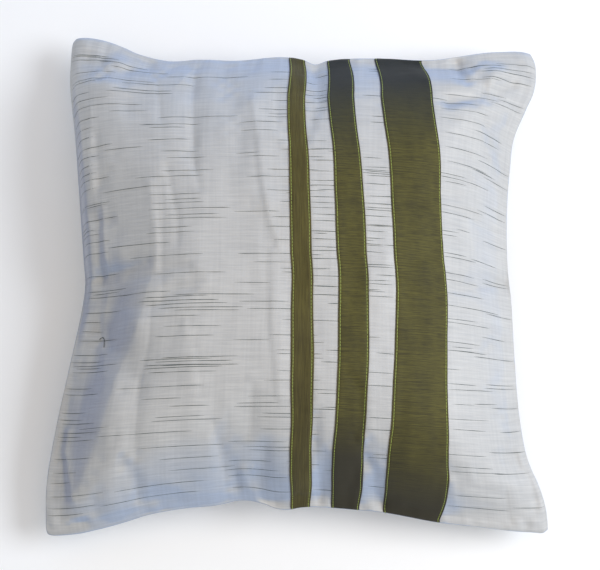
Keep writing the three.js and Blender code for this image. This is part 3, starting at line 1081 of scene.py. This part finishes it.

# %% [markdown]
# ## Slub yarns
#
# The ground cloth is woven with a slub weft: here and there a dark yarn floats on the surface for
# a few centimetres, swells, and thins out again. They lie along the weft, so on the patch each is
# a line of equal v. Where they start and how long they are differs from zone to zone, so a short
# table gives the zones, and a fixed seed draws the yarns. Now and then a shorter twin lies beside
# one. Geometry Nodes turn the lines into round yarns whose thickness follows an attribute. One
# loose thread end, which stands hooked near the left seam, is laid along a listed route.

# %% Set out the slubs by zones
SLUB_ZONES = [
    # yarns, shares v from and to, shares u from and to at which they start, length mm, girth mm
    (24, 0.53, 0.985, 0.004, 0.010, (16, 42), 0.19),
    (22, 0.02, 0.50, 0.004, 0.014, (18, 46), 0.19),
    (26, 0.52, 0.97, 0.06, 0.22, (28, 72), 0.18),
    (18, 0.02, 0.50, 0.10, 0.26, (30, 80), 0.18),
    (5, 0.41, 0.445, 0.15, 0.24, (45, 75), 0.20),
    (5, 0.29, 0.325, 0.18, 0.26, (50, 72), 0.20),
    (24, 0.46, 0.95, 0.35, 0.47, (24, 70), 0.18),
    (18, 0.03, 0.45, 0.36, 0.47, (24, 62), 0.18),
    (16, 0.44, 0.72, 0.515, 0.530, (16, 34), 0.20),
    (18, 0.03, 0.97, 0.515, 0.545, (12, 34), 0.20),
    (10, 0.05, 0.95, 0.550, 0.570, (12, 26), 0.20),
    (18, 0.44, 0.72, 0.630, 0.650, (18, 36), 0.20),
    (18, 0.03, 0.97, 0.630, 0.655, (14, 34), 0.20),
    (8, 0.05, 0.95, 0.665, 0.690, (12, 26), 0.20),
    (34, 0.03, 0.97, 0.800, 0.825, (16, 60), 0.18),
    (20, 0.03, 0.985, 0.885, 0.94, (26, 46), 0.20),
    (3, 0.925, 0.975, 0.885, 0.90, (40, 44), 0.20),
]
print("slub zones:", len(SLUB_ZONES), "with", sum(zone[0] for zone in SLUB_ZONES), "yarns")

# %% Draw the yarns
SLUB_MARGIN = 0.05
SLUB_STEP = 2.0
SLUB_POINTS = 4
SLUB_DRIFT = 0.15
SLUB_LIFT = 0.05
FIRST_U, LAST_U, LAST_V = 0.004, 0.997, 0.99
TWIN_SHARE = 0.2
TWIN_GAP = 3.0
TWIN_SHIFT = 22
TWIN_LENGTH = 0.7
# a yarn thins out at its ends and swells unevenly between them
SLUB_TAPER = 6
TAPER_SHARE = 1 / 3
TAPER_LEAST = 0.12
TAPER_POWER = 0.7
GIRTH_MEAN = 0.9
GIRTH_SWING = 0.25
GIRTH_BREADTH = 9
GIRTH_SEEDS = 97
GIRTH_LEAST = 0.5


def slub_path(u_start, v, length, girth):
    """A yarn's points and its radius along it, from shares and mm."""
    u_end = min(u_start + length / CLOTH_WIDTH, LAST_U)
    count = max(SLUB_POINTS, round((u_end - u_start) * CLOTH_WIDTH / SLUB_STEP))
    u = np.linspace(u_start, u_end, count)
    drift = rng.normal(0, SLUB_DRIFT)
    vs = np.full(count, v) + drift / CLOTH_LENGTH * np.linspace(-1, 1, count)
    inward = np.minimum(u - u[0], u[-1] - u) * CLOTH_WIDTH
    taper = np.clip(inward / min(SLUB_TAPER, length * TAPER_SHARE), TAPER_LEAST, 1) ** TAPER_POWER
    uneven = noise_line(u * CLOTH_WIDTH, GIRTH_BREADTH, v * GIRTH_SEEDS)
    swell = (GIRTH_MEAN + GIRTH_SWING * uneven).clip(GIRTH_LEAST)
    return on_front(u, vs, np.full(count, SLUB_LIFT)), girth * taper * swell


def slubs():
    """All yarns, spread evenly over the height of each zone."""
    spun = []
    for count, low_v, high_v, first, last, (shortest, longest), girth in SLUB_ZONES:
        places = (np.arange(count) + rng.uniform(SLUB_MARGIN, 1 - SLUB_MARGIN, count)) / count
        for v in low_v + (high_v - low_v) * places:
            start = rng.uniform(first, last)
            length = rng.uniform(shortest, longest)
            spun.append(slub_path(start, v, length, girth))
            if rng.random() < TWIN_SHARE:
                start += rng.uniform(-TWIN_SHIFT, TWIN_SHIFT) / CLOTH_WIDTH
                twin_v = min(v + TWIN_GAP / CLOTH_LENGTH, LAST_V)
                spun.append(slub_path(max(start, FIRST_U), twin_v, length * TWIN_LENGTH, girth))
    return spun


# %% Lay the loose thread end
LOOSE_ROUTE = [
    (-151, -50), (-149.5, -48.8), (-148, -48.5), (-147, -50), (-146.7, -53), (-146.6, -56.5),
]
LOOSE_LIFT = 0.35
LOOSE_GIRTH = 0.24


def loose_thread():
    """The short thread end that stands hooked on the cloth near the left seam."""
    u, v = shares_of(np.array(LOOSE_ROUTE)).T
    return on_front(u, v, np.full(len(u), LOOSE_LIFT)), np.full(len(u), LOOSE_GIRTH)

# %% The tree that spins the yarns
def yarn_tree():
    tree, start, curve = open_tree("spin_yarns", {"Thickness": 1.0})
    girth = add(tree, "GeometryNodeInputNamedAttribute", values=[("Name", "girth")],
                data_type="FLOAT")
    radius = add(tree, "ShaderNodeMath", [(0, girth, 0), (1, start, "Thickness")],
                 operation="MULTIPLY")
    section = add(tree, "GeometryNodeCurvePrimitiveCircle",
                  values=[("Resolution", 6), ("Radius", 1)])
    yarn = add(tree, "GeometryNodeCurveToMesh",
               [("Curve", curve, 0), ("Profile Curve", section, 0), ("Scale", radius, 0)],
               [("Fill Caps", True)])
    return close_tree(tree, start, add(tree, "GeometryNodeSetShadeSmooth", [("Geometry", yarn, 0)]))

# %% Spin the yarns
YARN_COLOUR = (0.075, 0.095, 0.09)
YARN_ROUGHNESS = 0.75

yarn_finish, _ = plain_finish("slub_yarn", YARN_COLOUR, YARN_ROUGHNESS)
paths, radii = zip(*slubs(), loose_thread())
slub_lines = path_mesh("slub_lines", paths, "girth", [radius * MM for radius in radii])
yarns = grow("slub_yarns", slub_lines, yarn_tree(), yarn_finish)
print("slub yarns:", len(paths), "of", len(yarns.data.polygons), "faces")

# %% [markdown]
# ## The ground cloth's finish
#
# It is a plain weave with a silky silvery face. Seen from a step away its weft shows as fine
# streaks of slightly different greys, which run for a few centimetres each, and its warp as
# fainter streaks the other way. Both come from one noise stretched along the threads, read in the
# cloth's own UV map, so the streaks follow every fold. The finest ribs are bump alone. A silky
# cloth gleams where it faces the lamp. Where it turns away, its colour is mixed towards darker,
# cooler tones on top of the lamps' own shading: painted shade, with a painted bluish sky
# reflection where it faces the sky, as on the slopes at the seams.

# %% Helpers for materials
WAVE_RADIANS = 20
WEAVE_STRENGTH = 0.6
MIX_INPUTS = (0, 6, 7)
MIX_OUTPUT = 2


def thread_noise(tree, across_pitch, along_pitch, detail=2.0, rough=0.6):
    """Noise in the cloth's own directions, with its grain in mm along u and along v."""
    place = add(tree, "ShaderNodeUVMap", uv_map="cloth")
    scale = (1 / (across_pitch * MM), 1 / (along_pitch * MM), 1)
    scaled = add(tree, "ShaderNodeMapping", [("Vector", place, "UV")], [("Scale", scale)])
    return add(tree, "ShaderNodeTexNoise", [("Vector", scaled, 0)],
               [("Scale", 1), ("Detail", detail), ("Roughness", rough)], noise_dimensions="2D")


def ribs(tree, direction, pitch):
    """Even thread ribs across one direction of the cloth, from 0 to 1. The wave texture turns by
    twenty radians in each unit of distance."""
    place = add(tree, "ShaderNodeUVMap", uv_map="cloth")
    scale = 2 * math.pi / (WAVE_RADIANS * pitch)
    return add(tree, "ShaderNodeTexWave", [("Vector", place, "UV")],
               [("Scale", scale), ("Distortion", 0)],
               wave_type="BANDS", bands_direction=direction, wave_profile="SIN")


def mixed(tree, share, low, high):
    """Two colours mixed by a share, on the Mix node's colour sockets. Each of the three may be a
    value or a (node, output) pair."""
    node = add(tree, "ShaderNodeMix", data_type="RGBA")
    for socket, value in zip(MIX_INPUTS, (share, low, high)):
        if isinstance(value, tuple) and hasattr(value[0], "outputs"):
            tree.links.new(value[0].outputs[value[1]], node.inputs[socket])
        else:
            node.inputs[socket].default_value = value
    return node, MIX_OUTPUT


def summed(tree, rows):
    """The weighted sum of several (node, output) sources."""
    total = None
    for source, output, weight in rows:
        part = add(tree, "ShaderNodeMath", [(0, source, output)], [(1, weight)],
                   operation="MULTIPLY")
        if total is None:
            total = part
        else:
            total = add(tree, "ShaderNodeMath", [(0, total, 0), (1, part, 0)], operation="ADD")
    return total


def spread(tree, source, low, high):
    """A source's values between low and high drawn out to run from 0 to 1."""
    node = add(tree, "ShaderNodeMapRange", [("Value", *source)],
               [("From Min", low), ("From Max", high)])
    return node, 0


def dress(tree, shader, colour, weave, depth):
    """Link a colour to the shader, and the weave's weighted sum as bump of a depth in mm."""
    tree.links.new(colour[0].outputs[colour[1]], shader.inputs["Base Color"])
    bump = add(tree, "ShaderNodeBump", [("Height", summed(tree, weave), 0)],
               [("Distance", depth * MM), ("Strength", WEAVE_STRENGTH)])
    tree.links.new(bump.outputs[0], shader.inputs["Normal"])


# %% Finish the ground cloth
LEVEL_TONES = (0.425, 0.425, 0.425, 1), (0.545, 0.54, 0.53, 1)
# painted shade: darker, cooler tones for slopes that face left, away from the key lamp
LEFT_PAINTED_SHADE_TONES = (0.265, 0.28, 0.345, 1), (0.34, 0.36, 0.43, 1)
# painted shade with a painted bluish sky reflection, for slopes that face the sky
SKY_PAINTED_SHADE_TONES = (0.305, 0.355, 0.45, 1), (0.39, 0.455, 0.58, 1)
GROUND_ROUGHNESS = 0.5
GROUND_GRAINS = [
    # grain across and along the cloth in mm, weight in the tone, weight in the bump
    (45, 1.5, 0.4, 0.5),
    (14, 0.6, 0.25, 0.3),
    (2.2, 60, 0.2, 0.08),
    (40, 55, 0.2, 0),
]
TONE_RANGE = (0.38, 0.72)
# how far a slope turns where its painted shade sets in and where it is full
PAINTED_SHADE_TURN_RANGE = (0.65, 1.35)
GROUND_PITCH = 0.45
GROUND_RIBS = {"Y": 0.10, "X": 0.06}
GROUND_DEPTH = 0.35
SHEEN = {"Sheen Weight": 0.25, "Sheen Roughness": 0.4}

ground_finish, ground_shader = plain_finish("silver_cloth", LEVEL_TONES[1][:3], GROUND_ROUGHNESS)
tree = ground_finish.node_tree
grains = [(thread_noise(tree, *row[:2]), *row[2:]) for row in GROUND_GRAINS]
tone = summed(tree, [(grain, 0, weight) for grain, weight, _ in grains])
tone = spread(tree, (tone, 0), *TONE_RANGE)
level, left_painted_shade, sky_painted_shade = (
    mixed(tree, tone, dark, light) for dark, light in (LEVEL_TONES, LEFT_PAINTED_SHADE_TONES, SKY_PAINTED_SHADE_TONES)
)
# the cloth's own tone is mixed towards painted shade where the slope turns away from the lamp
turn, sky_share = (
    (add(tree, "ShaderNodeAttribute", attribute_name=label), "Fac")
    for label in ("turned_away", "faces_the_sky")
)
painted_slope_shade = mixed(tree, sky_share, left_painted_shade, sky_painted_shade)
shade = mixed(tree, spread(tree, turn, *PAINTED_SHADE_TURN_RANGE), level, painted_slope_shade)
weave = [(ribs(tree, way, GROUND_PITCH * MM), 1, weight) for way, weight in GROUND_RIBS.items()]
weave += [(grain, 0, weight) for grain, _, weight in grains if weight]
dress(tree, ground_shader, shade, weave, GROUND_DEPTH)
for label, value in SHEEN.items():
    ground_shader.inputs[label].default_value = value
cover.data.materials.append(ground_finish)

# %% [markdown]
# ## The bands' finish
#
# The bands are a two-tone cloth: dark warp and olive weft, so it looks dull gold where the weft
# shows and nearly black where the warp does. The narrow one is cut the other way of the cloth, so
# its streaks run along it. Towards the seams the cloth turns away from the light, and there its
# colour is mixed towards painted shade: bluish dark at the head, with a painted sky reflection,
# and brown dark at the foot.

# %% Finish the bands
OLIVE = (0.105, 0.094, 0.026, 1)
DARK_WARP = (0.045, 0.040, 0.018, 1)
BAND_LOOKS = {
    # streak grain across and along in mm, lighter tone, darker tone
    "band_narrow": ((0.9, 38), (0.108, 0.092, 0.028, 1), (0.056, 0.046, 0.017, 1)),
    "band_medium": ((26, 0.9), OLIVE, DARK_WARP),
    "band_wide": ((34, 0.9), OLIVE, DARK_WARP),
}
FINE_GRAIN = (0.3, 0.5)
BLOTCH_GRAIN = (14, 30)
STREAK_NOISE = {"detail": 3.0, "rough": 0.7}
BAND_WEIGHTS = (0.5, 0.5, 0.25)
BAND_TONE_RANGE = (0.47, 0.78)
BAND_ROUGHNESS = 0.62
BAND_SPECULAR = 0.15
BAND_PITCH = 0.5
BAND_RIBS = {"Y": 0.2, "X": 0.1}
STREAK_BUMP = 0.5
BAND_DEPTH = 0.3
# painted shade at the bands' ends: bluish dark at the head, with a painted sky reflection, and
# brown dark at the foot
HEAD_PAINTED_SHADE = (0.029, 0.031, 0.030, 1)
FOOT_PAINTED_SHADE = (0.040, 0.036, 0.024, 1)
BAND_PAINTED_SHADE_SPANS = {
    # mm from the foot where the painted shade sets in and where it is full: at the head, at the
    # foot
    "band_narrow": ((330, 600), (200, -400)),
    "band_medium": ((285, 380), (92, 50)),
    "band_wide": ((308, 378), (74, 12)),
}


def band_finish(name):
    (across, along), light, dark = BAND_LOOKS[name]
    finish, shader = plain_finish(name + "_finish", light[:3], BAND_ROUGHNESS)
    tree = finish.node_tree
    streaks = thread_noise(tree, across, along, **STREAK_NOISE)
    fine = thread_noise(tree, across * FINE_GRAIN[0], along * FINE_GRAIN[1])
    blotch = thread_noise(tree, *BLOTCH_GRAIN)
    rows = [(grain, 0, weight) for grain, weight in zip((streaks, fine, blotch), BAND_WEIGHTS)]
    tone = spread(tree, (summed(tree, rows), 0), *BAND_TONE_RANGE)
    cloth = mixed(tree, tone, dark, light)
    place = add(tree, "ShaderNodeUVMap", uv_map="cloth")
    along_band = add(tree, "ShaderNodeSeparateXYZ", [(0, place, "UV")])
    # each end of the band is mixed towards its painted shade
    for (starts, full), painted_end_shade in zip(BAND_PAINTED_SHADE_SPANS[name], (HEAD_PAINTED_SHADE, FOOT_PAINTED_SHADE)):
        share = spread(tree, (along_band, "Y"), starts * MM, full * MM)
        cloth = mixed(tree, share, cloth, painted_end_shade)
    weave = [(ribs(tree, way, BAND_PITCH * MM), 1, weight) for way, weight in BAND_RIBS.items()]
    dress(tree, shader, cloth, weave + [(streaks, 0, STREAK_BUMP)], BAND_DEPTH)
    shader.inputs["Specular IOR Level"].default_value = BAND_SPECULAR
    return finish


for name, piece in bands.items():
    piece.data.materials.append(band_finish(name))

# %% [markdown]
# ## Tie every piece to the frame
#
# The cover stands for the coarse cushion, and each band for its own node. The stitches and yarns
# are extra pieces on top. Everything belongs to the one body.

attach(cover, "root")
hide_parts("cushion_cover")
for name, piece in bands.items():
    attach(piece, "root")
    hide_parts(name)
    mean_width(name) * MM
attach(stitches, "root")
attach(yarns, "root")

# %% Bring the scene up to date
bpy.context.view_layer.update()
